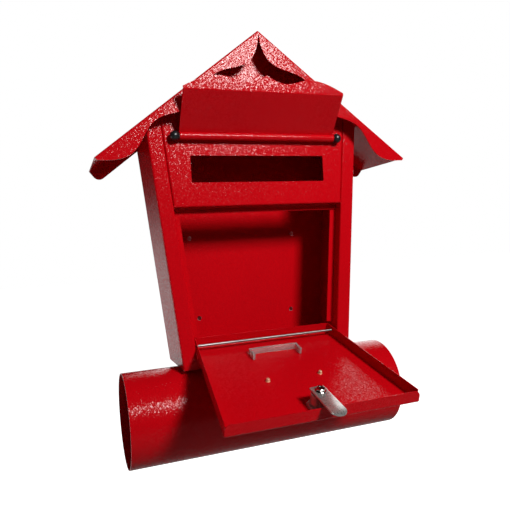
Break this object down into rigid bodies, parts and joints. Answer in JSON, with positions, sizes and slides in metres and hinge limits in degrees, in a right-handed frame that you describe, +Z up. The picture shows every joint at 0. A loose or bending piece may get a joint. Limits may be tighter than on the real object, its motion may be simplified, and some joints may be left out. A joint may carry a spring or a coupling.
{
  "type": "letter box",
  "caption": "Wall letter box in red powder coated sheet steel with a gable roof, a lift-up flap, a drop-down door with a cam lock and an open newspaper tube below.",
  "frame": {"origin": "midway between the two upper wall holes, on the outer face of the back panel", "axes": "+Z up, +Y towards the wall, +X to the right seen from the front"},
  "size_m": [0.376, 0.2448, 0.4852],
  "materials": {
    "powder_coat": "red fine-texture powder coat, half gloss",
    "zinc": "zinc plated, half bright",
    "nickel": "nickel plated",
    "copper": "copper plated weld studs",
    "black_plastic": "black nylon",
    "clear_plastic": "clear extruded plastic"
  },
  "bodies": {
    "case": {"body_shell": "powder_coat", "front_panel": "powder_coat", "bottom_plate": "powder_coat", "roof": "powder_coat", "newspaper_tube": "powder_coat", "tube_rivets": "zinc", "door_rod": "zinc", "door_rod_clips": "zinc", "flap_pivot_left": "black_plastic", "flap_pivot_right": "black_plastic"},
    "door": {"door_panel": "powder_coat", "name_pocket": "clear_plastic", "stud_left": "copper", "stud_right": "copper", "lock_housing": "nickel", "lock_nut": "nickel"},
    "lock_cam_set": {"lock_plug": "nickel", "lock_cam": "zinc", "cam_washer": "zinc", "cam_screw": "zinc"},
    "flap_set": {"flap": "powder_coat", "flap_rod": "zinc"}
  },
  "joints": [
    {"name": "door_hinge", "type": "hinge", "parent": "case", "child": "door", "pos_m": [0, -0.071, -0.1245], "axis": [-1, 0, 0], "range_deg": [0, 107.99]},
    {"name": "lock_turn", "type": "hinge", "parent": "door", "child": "lock_cam_set", "pos_m": [0, -0.20178, -0.16696], "axis": [0, -0.3088, 0.9511], "range_deg": [0, 90]},
    {"name": "flap_hinge", "type": "hinge", "parent": "case", "child": "flap_set", "pos_m": [0, -0.08578, 0.112], "axis": [1, 0, 0], "range_deg": [0, 150.1]}
  ]
}
